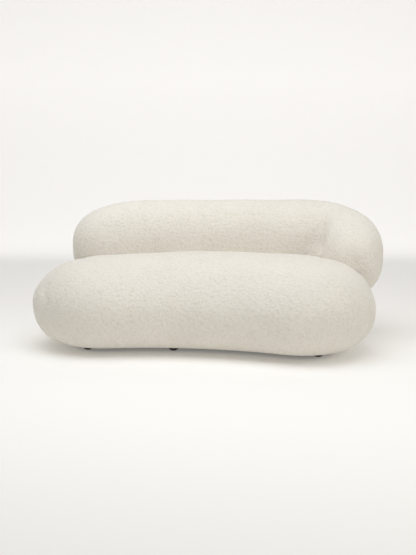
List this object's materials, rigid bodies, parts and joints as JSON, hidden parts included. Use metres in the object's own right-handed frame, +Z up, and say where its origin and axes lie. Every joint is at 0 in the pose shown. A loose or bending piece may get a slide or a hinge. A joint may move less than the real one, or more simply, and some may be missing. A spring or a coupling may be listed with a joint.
{
  "type": "curved two-seat sofa",
  "caption": "Curved sofa: a thick kidney-shaped seat on small turned black wooden feet, with a fat back roll that wraps round one end as an arm, covered in cream looped fabric.",
  "frame": {"origin": "on the floor under the middle of the sofa's overall box", "axes": "+X runs along the sofa to the end that has the arm, -Y is the front where a person sits down, +Z is up"},
  "size_m": [1.8718, 1.0788, 0.7515],
  "materials": {
    "plywood": "birch plywood, raw",
    "beech": "planed beech, raw",
    "hardboard": "bent hardboard, smooth side out",
    "webbing": "woven elastic webbing",
    "zinc_steel": "bright zinc-plated steel",
    "felt": "needled felt",
    "foam": null,
    "wadding": "polyester wadding",
    "looped_fabric": "cream looped yarn fabric",
    "lining_cloth": "black non-woven lining cloth",
    "black_wood": "turned wood, black satin lacquer",
    "glide_felt": "pressed felt glide",
    "black_steel": "flat steel bar, black powder coat",
    "yellow_zinc": "yellow zinc-plated steel screws"
  },
  "bodies": {
    "root": {"base_ring": "plywood", "deck_ring": "plywood", "seat_posts": "beech", "post_dowels": "beech", "webbing_rails": "beech", "seat_skin": "hardboard", "webbing_long": "webbing", "webbing_cross": "webbing", "webbing_staples": "zinc_steel", "deck_felt": "felt", "seat_side_foam": "foam", "seat_top_foam": "foam", "seat_wadding": "wadding", "seat_cover": "looped_fabric", "cover_staples": "zinc_steel", "dust_cover": "lining_cloth", "foot_front_left": "black_wood", "foot_front_middle": "black_wood", "foot_front_right": "black_wood", "foot_back_left": "black_wood", "foot_back_middle": "black_wood", "foot_back_right": "black_wood", "glide_front_left": "glide_felt", "glide_front_middle": "glide_felt", "glide_front_right": "glide_felt", "glide_back_left": "glide_felt", "glide_back_middle": "glide_felt", "glide_back_right": "glide_felt", "foot_bolts": "zinc_steel", "foot_tee_nuts": "zinc_steel", "back_brackets": "black_steel", "bracket_spacers": "zinc_steel", "bracket_bolts": "zinc_steel", "bracket_tee_nuts": "zinc_steel", "back_bottom_rail": "plywood", "back_top_rail": "plywood", "back_formers": "plywood", "former_screws": "yellow_zinc", "back_front_skin": "hardboard", "back_rear_skin": "hardboard", "back_foam": "foam", "back_wadding": "wadding", "back_cover": "looped_fabric", "back_cloth": "lining_cloth", "back_staples": "zinc_steel"}
  },
  "joints": []
}
